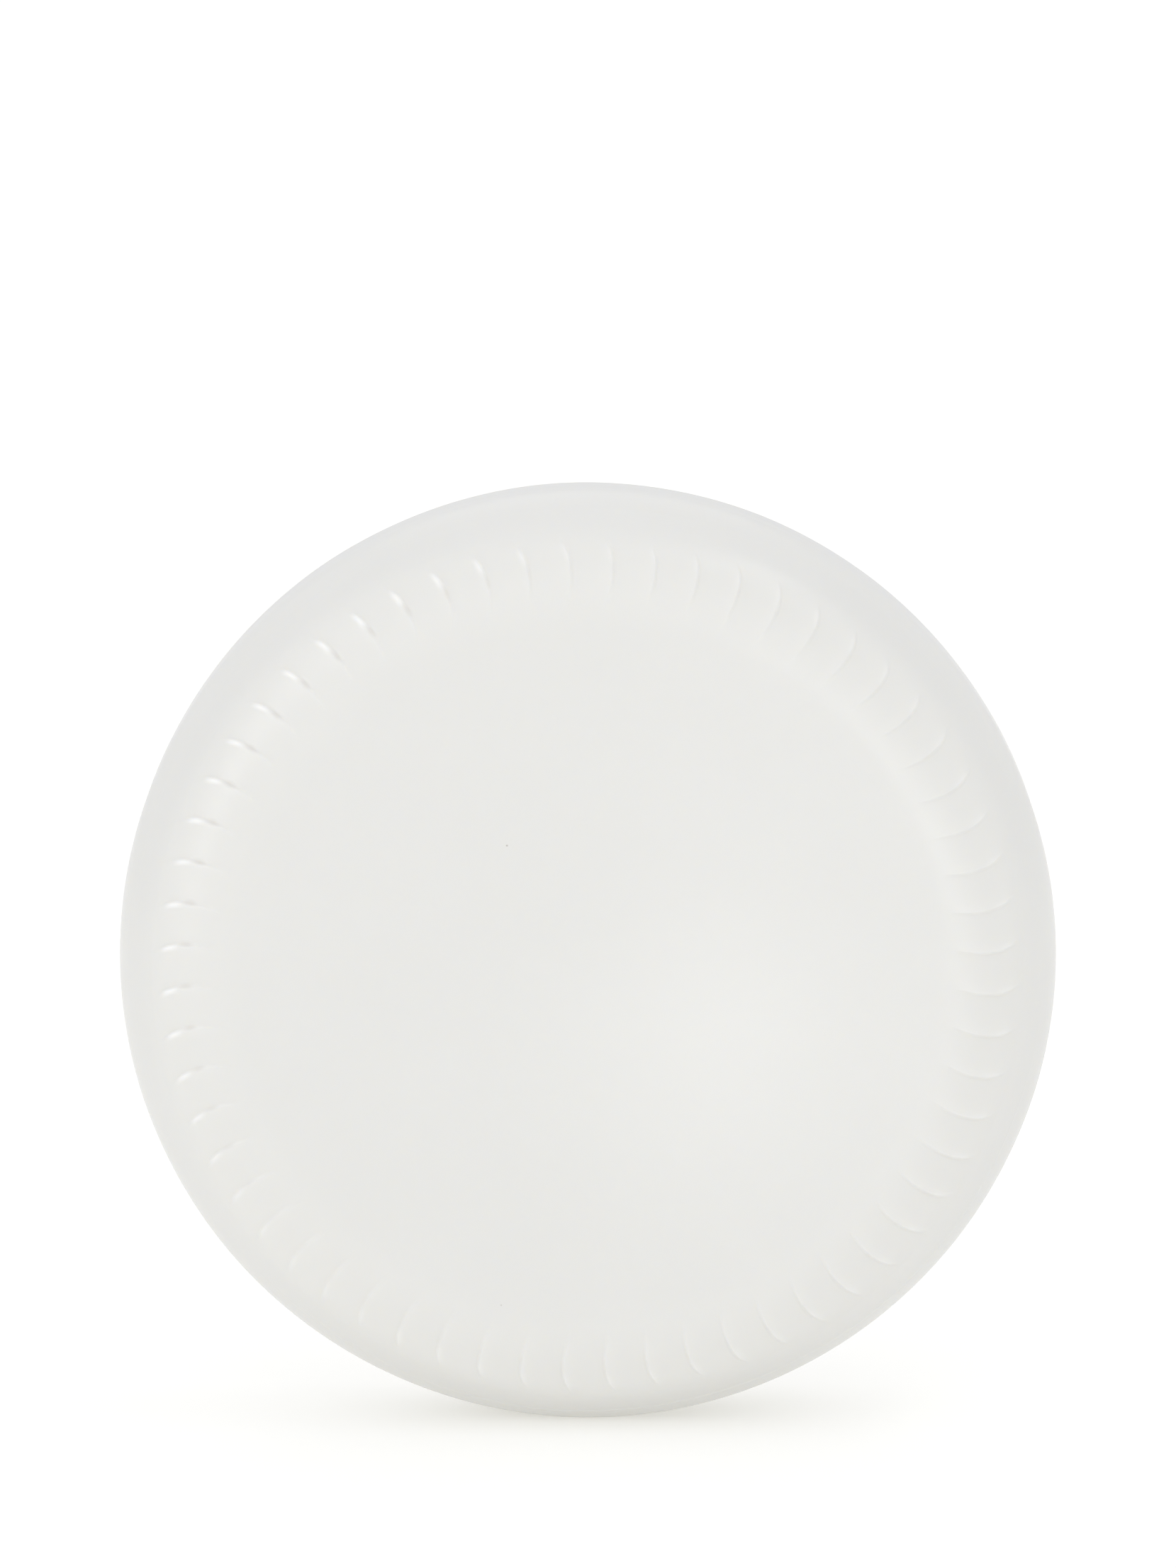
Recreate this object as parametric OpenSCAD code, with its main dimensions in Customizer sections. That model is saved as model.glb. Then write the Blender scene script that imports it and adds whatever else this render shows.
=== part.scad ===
// Shaving soap puck: one moulded bar of hard soap, round. From each face a broad
// rounded shoulder turns, more tightly further out, into a sloping wall that runs
// out to the waist. A ring of small raised crescents lies on the front shoulder,
// and a faint die line goes round the front wall.
// The puck stands on its edge on z = 0, where its soft rim is pressed flat by
// a hair: its axis runs along Y, its front face looks toward -Y, and the
// origin is under its centre. Millimetres, +Z up.

/* [Puck] */
// Diameter across the waist
diameter = 70; // [55:0.5:85]
// Thickness from front face to back face
thickness = 23; // [16:0.5:32]
// How far the middle of the front face stands above its edge
face_crown = 0.25; // [0.1:0.05:0.6]

/* [Rounded edge] */
// Where the face ends and the shoulder starts, as a share of the puck's radius
shoulder_place = 0.75; // [0.7:0.01:0.8]
// Radius of the shoulder's arc
shoulder_radius = 9.4; // [7:0.1:10]
// Lean of the surface at the shoulder's outer end
shoulder_lean = 30; // [26:1:34]
// Radius of the tighter arc between the shoulder and the wall
corner_radius = 4.5; // [3:0.5:5]
// Lean of the wall
wall_lean = 62; // [56:1:64]
// Radius of the arc from the wall into the waist
rim_radius = 6; // [3:0.5:8]

/* [Crescents] */
// How many crescents there are round the front shoulder
crescent_count = 60; // [24:1:72]
// Radius of the circle through their middles, as a share of the puck's radius
crescent_place = 0.83; // [0.81:0.01:0.85]
// Height of a crescent above the shoulder at its middle
crescent_height = 0.2; // [0.1:0.02:0.4]
// Thickness of the round rib that each crescent is the top of
crescent_rib = 0.76; // [0.5:0.02:1]
// Radius of the arc that each rib follows
crescent_bend = 2.6; // [2.2:0.1:3]
// How far the arc leans over, away from standing straight out of the shoulder
crescent_lean = 45; // [30:1:55]
// How far a crescent's outer end is turned back, counter-clockwise
crescent_sweep = 6; // [0:0.5:15]
// Place of the first crescent, clockwise from the top
crescent_start = 3.4; // [0:0.1:6]

/* [Die line] */
// Radius of the die line on the front wall, as a share of the puck's radius
line_place = 0.97; // [0.94:0.005:0.975]
// Height of the die line above the wall
line_height = 0.06; // [0.04:0.01:0.15]
// Thickness of the round bead that the die line is the top of
line_bead = 0.5; // [0.3:0.05:1]

/* [Standing spot] */
// How deep the rim is pressed flat where the puck stands on it
flat_depth = 0.12; // [0.04:0.01:0.3]

/* [Look] */
// Colour of the soap
soap_color = "#EFEFE9"; // color
// Smoothness of the round surfaces
smoothness = 160; // [64:8:256]

/* [Hidden] */
$fn = smoothness;
radius = diameter / 2;
half = thickness / 2;
// The edge of a face: shoulder arc, corner arc, straight wall and rim arc, each
// tangent to the next. Across and down are what each of them takes up.
shoulder_x = shoulder_place * radius;
shoulder_across = shoulder_radius * sin(shoulder_lean);
shoulder_down = shoulder_radius * (1 - cos(shoulder_lean));
corner_across = corner_radius * (sin(wall_lean) - sin(shoulder_lean));
corner_down = corner_radius * (cos(shoulder_lean) - cos(wall_lean));
wall_across = radius - shoulder_x - shoulder_across - corner_across
    - rim_radius * (1 - sin(wall_lean));
wall_down = wall_across * tan(wall_lean);
// The crown is a shallow ball cap that meets the shoulder where it goes flat.
crown_ball = (shoulder_x * shoulder_x + face_crown * face_crown) / (2 * face_crown);
front_edge = half - face_crown;
// Lean of the shoulder's surface where the crescents are.
crescent_slope = asin((crescent_place * radius - shoulder_x) / shoulder_radius);
// The outer end of the front corner, where the wall starts.
wall_top = [shoulder_x + shoulder_across + corner_across,
            front_edge - shoulder_down - corner_down];
line_out = line_place * radius - wall_top[0];
line_sink = line_bead / 2 - line_height;

// The part of a disc between two leans, counted from straight up.
module slice(r, from, to) {
    intersection() {
        circle(r = r);
        polygon([[0, 0],
                 2 * r * [sin(from), cos(from)],
                 2 * r * [sin(to), cos(to)]]);
    }
}

// Half of the cross-section above the waist's middle, up to a flat face.
module face_side(top) {
    shoulder_end = [shoulder_x + shoulder_across, top - shoulder_down];
    corner_end = shoulder_end + [corner_across, -corner_down];
    wall_end = corner_end + [wall_across, -wall_down];
    waist = wall_end[1] - rim_radius * cos(wall_lean);
    polygon([[0, 0], [0, top], [shoulder_x, top], shoulder_end, corner_end, wall_end,
             [radius, waist], [radius, 0]]);
    translate([shoulder_x, top - shoulder_radius])
        slice(shoulder_radius, 0, shoulder_lean);
    translate(shoulder_end - corner_radius * [sin(shoulder_lean), cos(shoulder_lean)])
        slice(corner_radius, shoulder_lean, wall_lean);
    translate([radius - rim_radius, waist])
        slice(rim_radius, wall_lean, 90);
}

// Half of the puck's cross-section, with the axis up and the front face on top.
module half_section() {
    face_side(front_edge);
    mirror([0, 1])
        face_side(half);
    // the crown over the front face
    intersection() {
        translate([0, half - crown_ball])
            circle(r = crown_ball);
        translate([0, front_edge - 1])
            square([shoulder_x, face_crown + 2]);
    }
    // the die line, the top of a thin bead sunk in the wall
    translate(wall_top + line_out * [1, -tan(wall_lean)]
              - line_sink * [sin(wall_lean), cos(wall_lean)])
        circle(r = line_bead / 2);
}

// One crescent: a thin round rib bent into a ring that leans over in the
// shoulder, so that only the top of its arc comes out and both ends sink away.
module crescent() {
    rib = crescent_rib / 2;
    // go to the shoulder's centre, turn with its surface, and climb onto it
    translate([0, shoulder_x, front_edge - shoulder_radius])
        rotate([-crescent_slope, 0, 0])
            translate([0, 0, shoulder_radius + crescent_height - rib])
                rotate([0, 0, crescent_sweep])
                    rotate([0, crescent_lean, 0])
                        translate([0, 0, -crescent_bend])
                            rotate([0, 90, 0])
                                rotate_extrude()
                                    translate([crescent_bend, 0])
                                        circle(r = rib, $fn = 48);
}

// The puck with its axis along Z and its front face up. The standing spot is
// on its -Y side.
module puck_lying() {
    difference() {
        union() {
            rotate_extrude() half_section();
            for (i = [0 : crescent_count - 1])
                rotate([0, 0, -crescent_start - i * 360 / crescent_count])
                    crescent();
        }
        translate([-radius, flat_depth - diameter, -thickness])
            cube([diameter, radius, 2 * thickness]);
    }
}

module soap_puck() {
    color(soap_color)
        translate([0, 0, radius - flat_depth])
            rotate([90, 0, 0])
                puck_lying();
}

soap_puck();
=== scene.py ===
import math

import bmesh
import bpy
import numpy as np
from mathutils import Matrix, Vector


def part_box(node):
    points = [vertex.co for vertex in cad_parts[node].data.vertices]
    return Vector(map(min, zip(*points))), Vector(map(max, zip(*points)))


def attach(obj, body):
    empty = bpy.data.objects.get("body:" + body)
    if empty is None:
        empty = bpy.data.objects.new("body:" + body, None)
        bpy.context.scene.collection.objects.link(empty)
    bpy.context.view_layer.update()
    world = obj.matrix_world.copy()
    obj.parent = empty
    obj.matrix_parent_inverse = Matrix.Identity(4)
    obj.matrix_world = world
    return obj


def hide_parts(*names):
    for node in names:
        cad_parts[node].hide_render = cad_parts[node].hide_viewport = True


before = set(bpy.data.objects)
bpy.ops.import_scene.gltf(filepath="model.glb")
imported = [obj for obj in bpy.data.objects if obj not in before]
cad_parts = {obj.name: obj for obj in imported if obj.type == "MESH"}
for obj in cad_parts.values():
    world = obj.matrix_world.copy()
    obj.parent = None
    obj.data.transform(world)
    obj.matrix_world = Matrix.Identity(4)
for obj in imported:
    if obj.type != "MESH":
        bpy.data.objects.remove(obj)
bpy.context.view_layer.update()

MM = 0.001

# ---------------------------------------------------------------- sizes, in mm
LOW, HIGH = (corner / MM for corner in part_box("soap_puck"))
RADIUS = (HIGH.x - LOW.x) / 2
HALF = (HIGH.y - LOW.y) / 2
FLAT_DEPTH = 2 * RADIUS - (HIGH.z - LOW.z)  # the standing spot, pressed into the rim
CENTRE_Z = RADIUS - FLAT_DEPTH
CROWN = 0.25  # rise of the front face's middle

# the rounded edge of each face: shoulder arc, corner arc, straight wall and rim arc
SHOULDER_X = 0.75 * RADIUS
SHOULDER_R, SHOULDER_LEAN = 9.4, math.radians(30)
CORNER_R, WALL_LEAN = 4.5, math.radians(62)
RIM_R = 6.0
CORNER_X = SHOULDER_X + SHOULDER_R * math.sin(SHOULDER_LEAN)
WALL_X = CORNER_X + CORNER_R * (math.sin(WALL_LEAN) - math.sin(SHOULDER_LEAN))
RIM_X = RADIUS - RIM_R * (1 - math.sin(WALL_LEAN))
SHOULDER_LENGTH = SHOULDER_R * SHOULDER_LEAN
CORNER_LENGTH = CORNER_R * (WALL_LEAN - SHOULDER_LEAN)
WALL_LENGTH = (RIM_X - WALL_X) / math.cos(WALL_LEAN)
RIM_LENGTH = RIM_R * (math.pi / 2 - WALL_LEAN)
EDGE_LENGTH = SHOULDER_LENGTH + CORNER_LENGTH + WALL_LENGTH + RIM_LENGTH

# the crescents on the front shoulder
CRESCENTS = 60
PITCH = 360 / CRESCENTS
CRESCENT_START = 3.4  # degrees clockwise from the top
CRESCENT_X = 0.845 * RADIUS  # where a crescent bulges furthest clockwise
CRESCENT_HEIGHT = 0.11
CRESCENT_TOP = 0.6  # the crest is at its full height this far out from there
CRESCENT_OUT = 2.6  # length from there outward
CRESCENT_IN = 3.5  # length from there inward
RAMP = 1.9  # width of the slow rise on a crescent's counter-clockwise side
DROP = 0.28  # width of the quick fall on its clockwise side
NUB_HEIGHT = 0.10  # a thick nub on the outer half of a crescent
NUB_OUT = 1.55  # its middle lies this far out from the bulge
NUB_LONG, NUB_WIDE = 0.95, 0.34  # half its length and half its width
DENT_DEPTH = 0.08  # the dent on the inner half, beside the nub
DENT_OUT = 0.28
DENT_LONG, DENT_WIDE = 0.75, 0.30

# the die line on the front wall
LINE_X = 0.97 * RADIUS
LINE_HEIGHT = 0.05
LINE_HALF_WIDTH = 0.16
LINE_ZONE = 0.3  # this far to each side of the line the mesh has finer rows

# soft unevenness of the moulded soap
UNEVEN = 0.035
LONG_WAVE, SHORT_WAVE = 26, 11
SEED = 11


# ------------------------------------------------------------- small functions
def smooth(x, low, high):
    """0 below low, 1 above high, and smooth between."""
    t = np.clip((x - low) / (high - low), 0.0, 1.0)
    return t * t * (3 - 2 * t)


def bump(x):
    """A soft round bump of height 1 that ends at x = -1 and x = 1."""
    return np.where(np.abs(x) < 1, (1 - np.minimum(x * x, 1)) ** 2, 0.0)


def soft_noise(points, wave, seed, waves=14):
    """Smooth noise near -1 to 1, made of plane waves of about this wavelength in mm."""
    rng = np.random.RandomState(seed)
    total = np.zeros(len(points))
    for _ in range(waves):
        way = rng.normal(size=3)
        way /= np.linalg.norm(way)
        length = wave * rng.uniform(0.7, 1.5)
        total += np.sin(points @ way * (2 * math.pi / length) + rng.uniform(0, 2 * math.pi))
    return total / math.sqrt(waves * 2)


# ------------------------------------------------------------ the puck's shape
def edge_point(s):
    """Distance from the axis, fall below the face and lean of the rounded edge, at arc length s."""
    if s < SHOULDER_LENGTH:
        lean = s / SHOULDER_R
        return SHOULDER_X + SHOULDER_R * math.sin(lean), SHOULDER_R * (1 - math.cos(lean)), lean
    s -= SHOULDER_LENGTH
    fall = SHOULDER_R * (1 - math.cos(SHOULDER_LEAN))
    if s < CORNER_LENGTH:
        lean = SHOULDER_LEAN + s / CORNER_R
        out = CORNER_X + CORNER_R * (math.sin(lean) - math.sin(SHOULDER_LEAN))
        return out, fall + CORNER_R * (math.cos(SHOULDER_LEAN) - math.cos(lean)), lean
    s -= CORNER_LENGTH
    fall += CORNER_R * (math.cos(SHOULDER_LEAN) - math.cos(WALL_LEAN))
    if s < WALL_LENGTH:
        return WALL_X + s * math.cos(WALL_LEAN), fall + s * math.sin(WALL_LEAN), WALL_LEAN
    s -= WALL_LENGTH
    fall += WALL_LENGTH * math.sin(WALL_LEAN)
    lean = min(WALL_LEAN + s / RIM_R, math.pi / 2)
    out = RADIUS - RIM_R * (1 - math.sin(lean))
    return out, fall + RIM_R * (math.cos(WALL_LEAN) - math.cos(lean)), lean


CRESCENT_S = SHOULDER_R * math.asin((CRESCENT_X - SHOULDER_X) / SHOULDER_R)
LINE_S = SHOULDER_LENGTH + CORNER_LENGTH + (LINE_X - WALL_X) / math.cos(WALL_LEAN)
RIBBED_FROM, RIBBED_TO = 0.1, CRESCENT_S + 3.6
HUB = 0.8  # radius of the innermost ring of each face


def profile_rows():
    """The cross-section from the front face's middle round to the back face's middle. Each row is
    (distance from axis, height to the front, normal out, normal to the front, columns, arc length
    along the front edge or None)."""
    rows = []
    for x in np.linspace(HUB, SHOULDER_X, 34)[:-1]:
        lean = 2 * CROWN * x / SHOULDER_X**2
        columns = 75 if x < 3 else 150 if x < 8 else 300 if x < 17 else 600
        up = HALF - CROWN * (x / SHOULDER_X) ** 2
        rows.append((x, up, math.sin(lean), math.cos(lean), columns, None))
    front = [
        *np.linspace(RIBBED_FROM, RIBBED_TO, 43)[:-1],
        *np.linspace(RIBBED_TO, LINE_S - LINE_ZONE, 8)[:-1],
        *np.linspace(LINE_S - LINE_ZONE, LINE_S + LINE_ZONE, 13)[:-1],
        *np.linspace(LINE_S + LINE_ZONE, EDGE_LENGTH, 10),
    ]
    for s in front:
        x, fall, lean = edge_point(s)
        columns = 1200 if s < RIBBED_TO - 1e-9 else 600
        rows.append((x, HALF - CROWN - fall, math.sin(lean), math.cos(lean), columns, s))
    x, fall, lean = edge_point(EDGE_LENGTH)
    for up in np.linspace(HALF - CROWN - fall, fall - HALF, 6)[1:-1]:
        rows.append((RADIUS, up, 1.0, 0.0, 600, None))
    for s in np.linspace(EDGE_LENGTH, 0, 30):
        x, fall, lean = edge_point(s)
        columns = 600 if s > EDGE_LENGTH - RIM_LENGTH else 300
        rows.append((x, fall - HALF, math.sin(lean), -math.cos(lean), columns, None))
    for x in np.linspace(SHOULDER_X, HUB, 26)[1:]:
        columns = 300 if x > 17 else 150 if x > 5 else 75
        rows.append((x, -HALF, 0.0, -1.0, columns, None))
    return rows


def crescent_swing(s, x):
    """How far a crescent's crest lies clockwise of its bulge, in degrees. Both ends swing back, and
    the outer one more."""
    out = s - CRESCENT_S
    return math.degrees(-(0.075 * out**2 + 0.007 * out**3) / x)


def column_angles(x, columns, s):
    """Angles of a row's columns, clockwise from the top, in degrees. On the crescents they crowd round
    each crest and follow its bend."""
    even = np.arange(columns) * 360 / columns
    v = 2 * np.mod(even / PITCH, 1) - 1
    crowd = follow = swing = 0.0
    if s is None:
        crowd = float(smooth(x, 0.70 * RADIUS, SHOULDER_X)) if x < SHOULDER_X else 0.0
        swing = crescent_swing(0.0, SHOULDER_X)
        follow = crowd
    elif s < LINE_S:
        crowd = follow = 1 - float(smooth(s, RIBBED_TO, LINE_S - LINE_ZONE))
        swing = crescent_swing(min(s, RIBBED_TO), x)
    shift = PITCH / 2 * (0.25 * v + 0.75 * v**3 - v)
    return even + PITCH / 2 + CRESCENT_START + crowd * shift + follow * swing


def across_crest(s, x, angle):
    """Distance clockwise from the nearest crescent's crest, in mm."""
    turn = np.mod(angle - CRESCENT_START - crescent_swing(s, x) + PITCH / 2, PITCH) - PITCH / 2
    return np.radians(turn) * x


def nub_and_dent(s, x, angle):
    """The nub and the dent of each crescent, both from 0 to 1. They are deepest at the upper left."""
    across = across_crest(s, x, angle)
    deep = 0.15 + 0.85 * smooth(np.cos(np.radians(angle - 295)), 0.4, 0.9)
    nub = bump((s - CRESCENT_S - NUB_OUT) / NUB_LONG) * bump((across + 0.06) / NUB_WIDE)
    dent = bump((s - CRESCENT_S - DENT_OUT) / DENT_LONG) * bump((across - 0.10) / DENT_WIDE)
    return deep * nub, deep * dent


def crescent_height(s, x, angle):
    """Height of the crescents above the shoulder: a slow rise to a crest, then a quick fall, with a
    short nub and a dent on the middle of the crest."""
    across = across_crest(s, x, angle)
    step = np.where(across < 0, np.clip(1 + across / RAMP, 0, 1) ** 2, 1 - smooth(across, 0, DROP))
    out = s - CRESCENT_S - CRESCENT_TOP
    fade = 1 - smooth(out, 0.4 * CRESCENT_OUT, CRESCENT_OUT) if out > 0 else bump(out / CRESCENT_IN)
    nub, dent = nub_and_dent(s, x, angle)
    clear = 1 + 0.5 * smooth(np.cos(np.radians(angle - 140)), 0.3, 0.9)
    return CRESCENT_HEIGHT * clear * fade * step + NUB_HEIGHT * nub - DENT_DEPTH * dent


def die_line_height(s, angle):
    """A thin raised line where the two halves of the die met. It is clearest at the lower right."""
    wander = 0.07 * np.sin(np.radians(angle) * 7 + 1.0) + 0.05 * np.sin(np.radians(angle) * 17)
    clear = 0.08 + 0.92 * smooth(np.cos(np.radians(angle - 165)), 0.4, 0.95)
    return LINE_HEIGHT * clear * bump((s - LINE_S + wander) / LINE_HALF_WIDTH)


def skin(rows):
    """Points of every row in mm, with the puck's centre at the origin: X right, Y back, Z up. With
    them, the painted light on the crescents:
    1 on top of a nub, where a glint is painted whiter, and -1 at the bottom of a dent, where shade is
    painted darker."""
    rings, glint_and_shade_rows = [], []
    for x, up, out, ahead, columns, s in rows:
        angle = column_angles(x, columns, s)
        xs = np.full(columns, x)
        turn = np.radians(angle)
        base = np.stack([xs * np.sin(turn), np.full(columns, -up), xs * np.cos(turn)], 1)
        normal = np.stack([out * np.sin(turn), np.full(columns, -ahead), out * np.cos(turn)], 1)
        lift = np.zeros(columns)
        glint_and_shade = np.zeros(columns)
        if s is not None:
            lift += crescent_height(s, x, angle) + die_line_height(s, angle)
            # painted light: this value paints a glint on each nub's top and shade in each dent
            nub, dent = nub_and_dent(s, x, angle)
            glint_and_shade = nub - dent
        # the unevenness only sinks below the true shape, so nothing grows past the CAD
        wave = 0.5 * soft_noise(base, LONG_WAVE, SEED) + 0.3 * soft_noise(base, SHORT_WAVE, SEED + 1)
        lift -= UNEVEN * np.clip(0.8 + wave, 0, 2)
        point = base + normal * lift[:, None]
        point[:, 2] = np.maximum(point[:, 2], -CENTRE_Z)
        rings.append(point)
        glint_and_shade_rows.append(glint_and_shade)
    return rings, glint_and_shade_rows


def join_rings(faces, a, na, b, nb):
    """Faces between two rings that start at vertices a and b. A ring may have twice as many columns."""
    if na == nb:
        for j in range(na):
            k = (j + 1) % na
            faces.append((a + j, a + k, b + k, b + j))
    elif nb == 2 * na:
        for j in range(na):
            k = (j + 1) % na
            left, middle, right = b + 2 * j, b + 2 * j + 1, b + (2 * j + 2) % nb
            faces.append((a + j, middle, left))
            faces.append((a + j, a + k, middle))
            faces.append((a + k, right, middle))
    else:
        for j in range(nb):
            k = (j + 1) % nb
            left, middle, right = a + 2 * j, a + 2 * j + 1, a + (2 * j + 2) % na
            faces.append((b + j, left, middle))
            faces.append((b + j, middle, b + k))
            faces.append((b + k, middle, right))


def puck_mesh():
    """The puck as one closed mesh of rings, from the front face's middle to the back face's."""
    rows = profile_rows()
    rings, glint_and_shade_rows = skin(rows)
    sink = UNEVEN * 0.8
    points = [np.array([[0.0, -(HALF - sink), 0.0]]), *rings, np.array([[0.0, HALF - sink, 0.0]])]
    starts = np.cumsum([0] + [len(p) for p in points])
    faces = []
    for i in range(1, len(points) - 2):
        join_rings(faces, int(starts[i]), len(points[i]), int(starts[i + 1]), len(points[i + 1]))
    first, last = len(rings[0]), len(rings[-1])
    faces += [(0, int(starts[1]) + (j + 1) % first, int(starts[1]) + j) for j in range(first)]
    end = int(starts[-2])
    faces += [(end, end - last + j, end - last + (j + 1) % last) for j in range(last)]
    verts = np.concatenate(points) + np.array([0.0, 0.0, CENTRE_Z])
    mesh = bpy.data.meshes.new("soap_puck_looks")
    mesh.from_pydata((verts * MM).tolist(), [], faces)
    work = bmesh.new()
    work.from_mesh(mesh)
    bmesh.ops.recalc_face_normals(work, faces=work.faces)
    work.to_mesh(mesh)
    work.free()
    mesh.polygons.foreach_set("use_smooth", [True] * len(mesh.polygons))
    # this attribute carries the painted glint on the nubs and the painted shade in the dents
    glint_and_shade = mesh.attributes.new("glint_and_shade", "FLOAT", "POINT")
    glint_and_shade.data.foreach_set("value", np.concatenate([[0.0], *glint_and_shade_rows, [0.0]]))
    return mesh


# ------------------------------------------------------------------- materials
def new_material(name):
    """A new material, its node tree and its shader."""
    material = bpy.data.materials.new(name)
    material.use_nodes = True
    tree = material.node_tree
    return material, tree, tree.nodes["Principled BSDF"]


def add(tree, kind, **settings):
    """A node with its properties set, and its inputs where the name is one of theirs."""
    node = tree.nodes.new(kind)
    for key, value in settings.items():
        if key in node.inputs:
            node.inputs[key].default_value = value
        else:
            setattr(node, key, value)
    return node


def map_range(tree, from_min, from_max, to_min, to_max):
    """A node that maps one range of values onto another."""
    node = add(tree, "ShaderNodeMapRange")
    values = {"From Min": from_min, "From Max": from_max, "To Min": to_min, "To Max": to_max}
    for key, value in values.items():
        node.inputs[key].default_value = value
    return node


def mix_in(tree, factor, below, color):
    """A colour output that turns from the colour below to this one as the factor grows from 0 to 1."""
    node = add(tree, "ShaderNodeMix", data_type="RGBA", clamp_factor=True)
    node.inputs["B"].default_value = color
    tree.links.new(factor, node.inputs["Factor"])
    tree.links.new(below, node.inputs["A"])
    return node.outputs["Result"]


def soap_material():
    """Hard white milled soap: milky, faintly warm in its depth, with a soft sheen, fine mottling,
    a grain that only shows in highlights, and a few dark specks."""
    material, tree, shader = new_material("milled_soap")
    link = tree.links.new
    place = add(tree, "ShaderNodeTexCoord").outputs["Object"]

    clouds = add(tree, "ShaderNodeTexNoise", Scale=70.0, Detail=3.0, Roughness=0.55)
    link(place, clouds.inputs["Vector"])
    tone = add(tree, "ShaderNodeValToRGB")
    tone.color_ramp.elements[0].position = 0.3
    tone.color_ramp.elements[0].color = (0.712, 0.710, 0.690, 1)
    tone.color_ramp.elements[1].position = 0.7
    tone.color_ramp.elements[1].color = (0.720, 0.718, 0.699, 1)
    link(clouds.outputs["Fac"], tone.inputs["Fac"])

    # painted light: the nubs are painted a little whiter as a glint, and the dents a little darker as
    # shade, most at the upper left
    glint_and_shade = add(tree, "ShaderNodeAttribute", attribute_name="glint_and_shade").outputs["Fac"]
    white = mix_in(tree, glint_and_shade, tone.outputs["Color"], (0.80, 0.80, 0.79, 1))
    sunk = add(tree, "ShaderNodeMath", operation="MULTIPLY")
    sunk.inputs[1].default_value = -1.0
    link(glint_and_shade, sunk.inputs[0])
    dent_shaded = mix_in(tree, sunk.outputs[0], white, (0.68, 0.67, 0.65, 1))

    # every cell of the pattern could hold a speck, and only the few with a high random value do
    specks = add(tree, "ShaderNodeTexVoronoi", feature="F1", Scale=170.0, Randomness=1.0)
    link(place, specks.inputs["Vector"])
    dot = map_range(tree, 0.010, 0.022, 1.0, 0.0)
    dot.interpolation_type = "SMOOTHSTEP"
    link(specks.outputs["Distance"], dot.inputs["Value"])
    few = add(tree, "ShaderNodeSeparateColor")
    link(specks.outputs["Color"], few.inputs["Color"])
    rare = add(tree, "ShaderNodeMath", operation="GREATER_THAN")
    rare.inputs[1].default_value = 0.8
    link(few.outputs["Red"], rare.inputs[0])
    chosen = add(tree, "ShaderNodeMath", operation="MULTIPLY")
    link(dot.outputs["Result"], chosen.inputs[0])
    link(rare.outputs[0], chosen.inputs[1])
    dirty = mix_in(tree, chosen.outputs[0], dent_shaded, (0.42, 0.40, 0.36, 1))
    link(dirty, shader.inputs["Base Color"])

    polish = add(tree, "ShaderNodeTexNoise", Scale=240.0, Detail=2.0, Roughness=0.5)
    link(place, polish.inputs["Vector"])
    sheen = map_range(tree, 0.3, 0.7, 0.29, 0.33)
    link(polish.outputs["Fac"], sheen.inputs["Value"])
    link(sheen.outputs["Result"], shader.inputs["Roughness"])

    grain = add(tree, "ShaderNodeTexNoise", Scale=1500.0, Detail=4.0, Roughness=0.6)
    link(place, grain.inputs["Vector"])
    relief = add(tree, "ShaderNodeBump", Strength=0.12, Distance=0.00002)
    link(grain.outputs["Fac"], relief.inputs["Height"])
    link(relief.outputs["Normal"], shader.inputs["Normal"])

    shader.inputs["Subsurface Weight"].default_value = 0.7
    shader.inputs["Subsurface Radius"].default_value = (1.0, 0.9, 0.7)
    shader.inputs["Subsurface Scale"].default_value = 0.0035
    shader.inputs["IOR"].default_value = 1.46
    return material


def floor_material():
    """Matt white light panel with a very slight tooth, glowing softly from within."""
    material, tree, shader = new_material("white_board")
    place = add(tree, "ShaderNodeTexCoord").outputs["Object"]
    tooth = add(tree, "ShaderNodeTexNoise", Scale=900.0, Detail=3.0)
    tree.links.new(place, tooth.inputs["Vector"])
    relief = add(tree, "ShaderNodeBump", Strength=0.05, Distance=0.00002)
    tree.links.new(tooth.outputs["Fac"], relief.inputs["Height"])
    tree.links.new(relief.outputs["Normal"], shader.inputs["Normal"])
    shader.inputs["Base Color"].default_value = (0.63, 0.63, 0.64, 1)
    shader.inputs["Roughness"].default_value = 0.5
    shader.inputs["Emission Color"].default_value = (1.0, 0.99, 0.92, 1)
    shader.inputs["Emission Strength"].default_value = 0.385
    return material


# ----------------------------------------------------------------------- stage
def make_floor():
    """A plain square floor, far wider than the picture."""
    size = 12.0
    mesh = bpy.data.meshes.new("floor")
    corners = [(-size, -size, 0), (size, -size, 0), (size, size, 0), (-size, size, 0)]
    mesh.from_pydata(corners, [], [(0, 1, 2, 3)])
    floor = bpy.data.objects.new("floor", mesh)
    bpy.context.scene.collection.objects.link(floor)
    mesh.materials.append(floor_material())
    return floor


def aim(thing, target):
    """Turn a lamp or a camera, which look along their own -Z, towards the target."""
    thing.rotation_mode = "QUATERNION"
    thing.rotation_quaternion = (Vector(target) - thing.location).to_track_quat("-Z", "Y")


def soft_box(name, place, target, width, height, power):
    """A rectangular lamp that faces its target. Sizes in metres, power in watts."""
    data = bpy.data.lights.new(name, "AREA")
    data.shape = "RECTANGLE"
    data.size, data.size_y = width, height
    data.energy = power
    lamp = bpy.data.objects.new(name, data)
    bpy.context.scene.collection.objects.link(lamp)
    lamp.location = place
    aim(lamp, target)
    return lamp


def face_pool(name, place, target, angle, power):
    """A narrow soft-edged spot, its angle in degrees."""
    data = bpy.data.lights.new(name, "SPOT")
    data.spot_size = math.radians(angle)
    data.spot_blend = 1.0
    data.shadow_soft_size = 0.01
    data.energy = power
    lamp = bpy.data.objects.new(name, data)
    bpy.context.scene.collection.objects.link(lamp)
    lamp.location = place
    aim(lamp, target)
    return lamp


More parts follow.
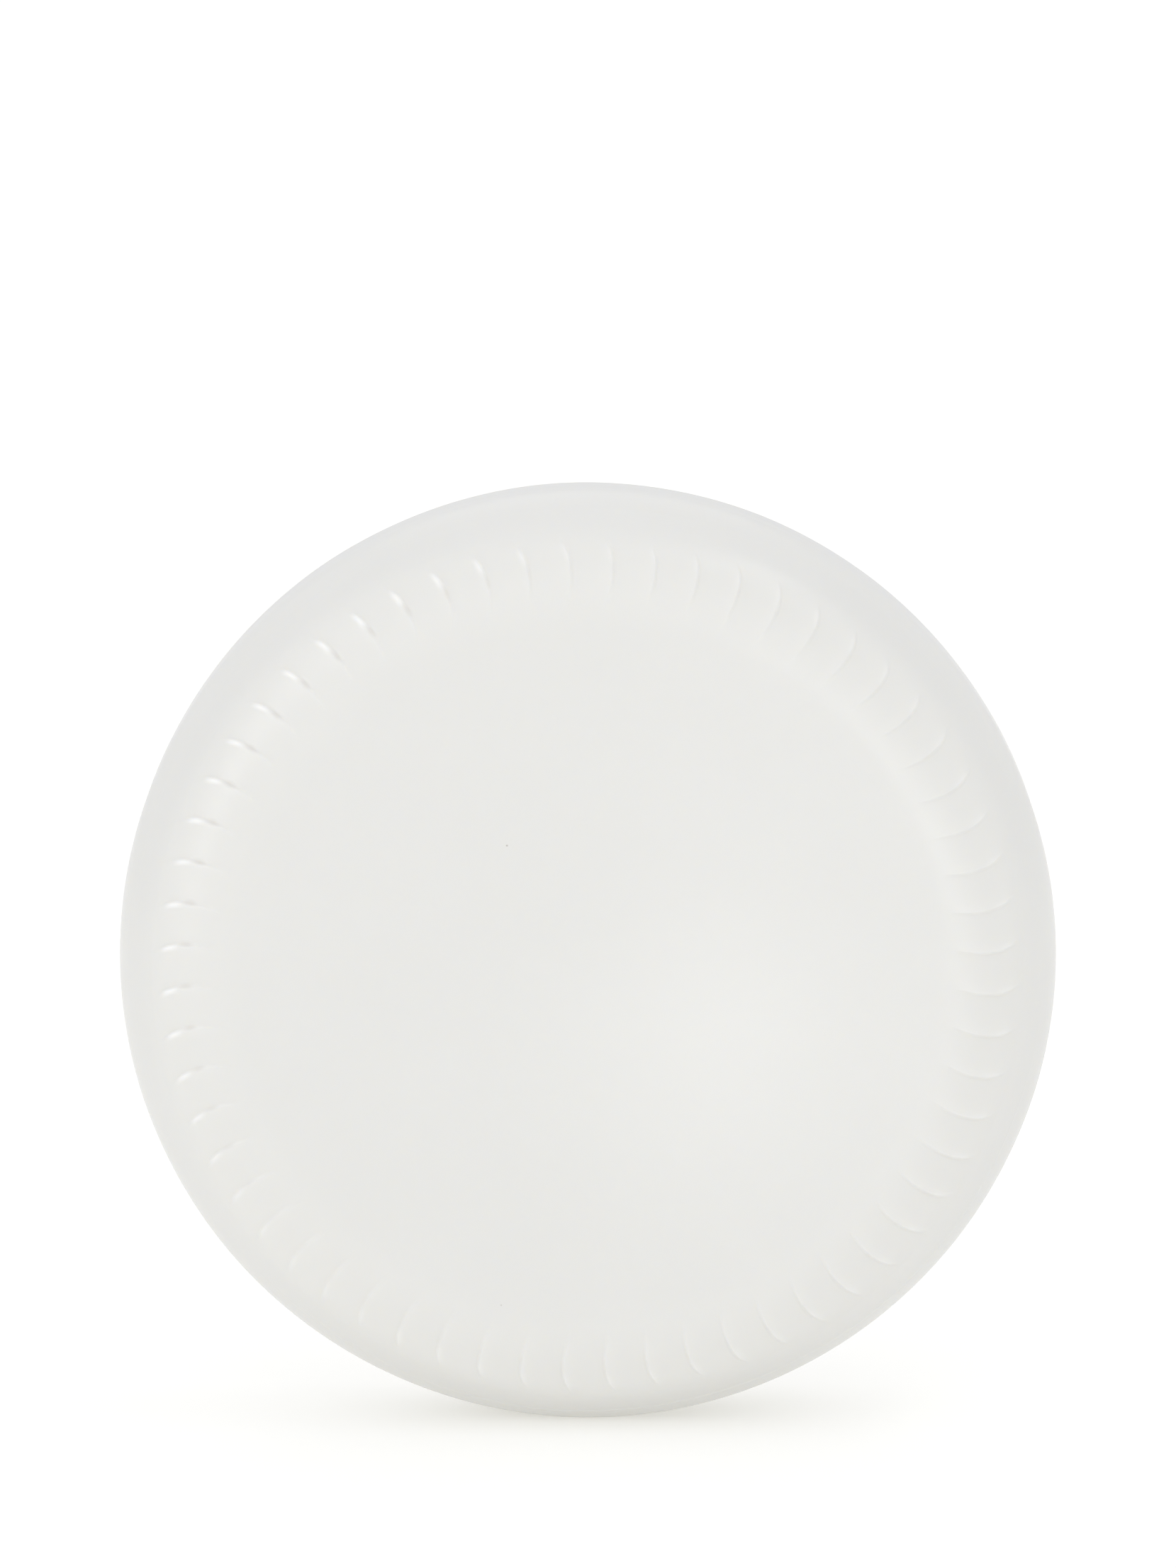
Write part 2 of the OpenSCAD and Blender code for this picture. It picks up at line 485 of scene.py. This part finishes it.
def soft_sky(name, around, height, strength, spread):
    """A wide even light from far away, such as a lit tent wall. Around is counted in degrees from the
    front, towards the right; height is its angle above the floor."""
    data = bpy.data.lights.new(name, "SUN")
    data.energy = strength
    data.angle = math.radians(spread)
    lamp = bpy.data.objects.new(name, data)
    bpy.context.scene.collection.objects.link(lamp)
    turn, rise = math.radians(around), math.radians(height)
    away = Vector((math.sin(turn) * math.cos(rise), -math.cos(turn) * math.cos(rise), math.sin(rise)))
    lamp.location = away
    aim(lamp, (0, 0, 0))
    return lamp


def make_lights(middle):
    """A white light tent: an even glow all round, a little stronger from the front and the left, a lamp
    over the right side, a low reflector in front and a small pool of light on the face."""
    world = bpy.data.worlds.new("studio")
    world.use_nodes = True
    world.node_tree.nodes["Background"].inputs["Color"].default_value = (0.995, 1.0, 1.015, 1)
    world.node_tree.nodes["Background"].inputs["Strength"].default_value = 0.85
    bpy.context.scene.world = world
    soft_sky("left_wall", -45, 20, 0.12, 30)
    soft_sky("front_wall", 0, 25, 0.25, 40)
    soft_sky("back_wall", 180, 45, 0.09, 40)
    soft_sky("ceiling", 0, 89, 0.12, 110)
    soft_box("left_box", (-0.42, -0.40, 0.14), middle, 0.13, 0.30, 0.24)
    soft_box("right_top_box", (0.25, -0.05, 0.60), middle, 0.60, 0.12, 0.25)
    soft_box("right_box", (0.30, -0.60, 0.10), middle, 0.12, 0.18, 0.10)
    soft_box("low_reflector", (0.14, -0.55, 0.03), middle, 0.14, 0.05, 0.16)
    face_pool("face_pool", (0.08, -0.40, 0.06), (0.0098, -0.0112, 0.0290), 3.5, 0.50)


def make_camera(middle):
    """Straight at the front face from 7.8 degrees above, through a long lens. The puck sits below the
    middle of the picture, so the camera aims above it."""
    tilt = math.radians(7.8)
    away = 0.80
    frame_height = 0.11755  # how much of the puck's plane the picture's height takes in
    above = 0.01249  # how far over the puck's middle the picture's middle is
    data = bpy.data.cameras.new("camera")
    data.sensor_width = 36.0
    data.lens = 36.0 * away / frame_height
    data.clip_start, data.clip_end = 0.05, 60
    camera = bpy.data.objects.new("camera", data)
    bpy.context.scene.collection.objects.link(camera)
    camera.location = middle + away * Vector((0, -math.cos(tilt), math.sin(tilt)))
    up = Vector((0, math.sin(tilt), math.cos(tilt)))
    aim(camera, middle + above * up)
    bpy.context.scene.camera = camera
    return camera


def set_tone():
    """Plain tones, with no film look."""
    view = bpy.context.scene.view_settings
    view.view_transform = "Standard"
    view.look = "None"
    view.exposure = 0.0
    view.gamma = 1.0


def make_puck():
    """The looks of the one piece, in place of the CAD node."""
    puck = bpy.data.objects.new("shaving_soap", puck_mesh())
    bpy.context.scene.collection.objects.link(puck)
    puck.data.materials.append(soap_material())
    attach(puck, "root")
    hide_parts("soap_puck")
    return puck


MIDDLE = Vector((0, 0, CENTRE_Z * MM))
set_tone()
make_camera(MIDDLE)
make_puck()
make_floor()
make_lights(MIDDLE)
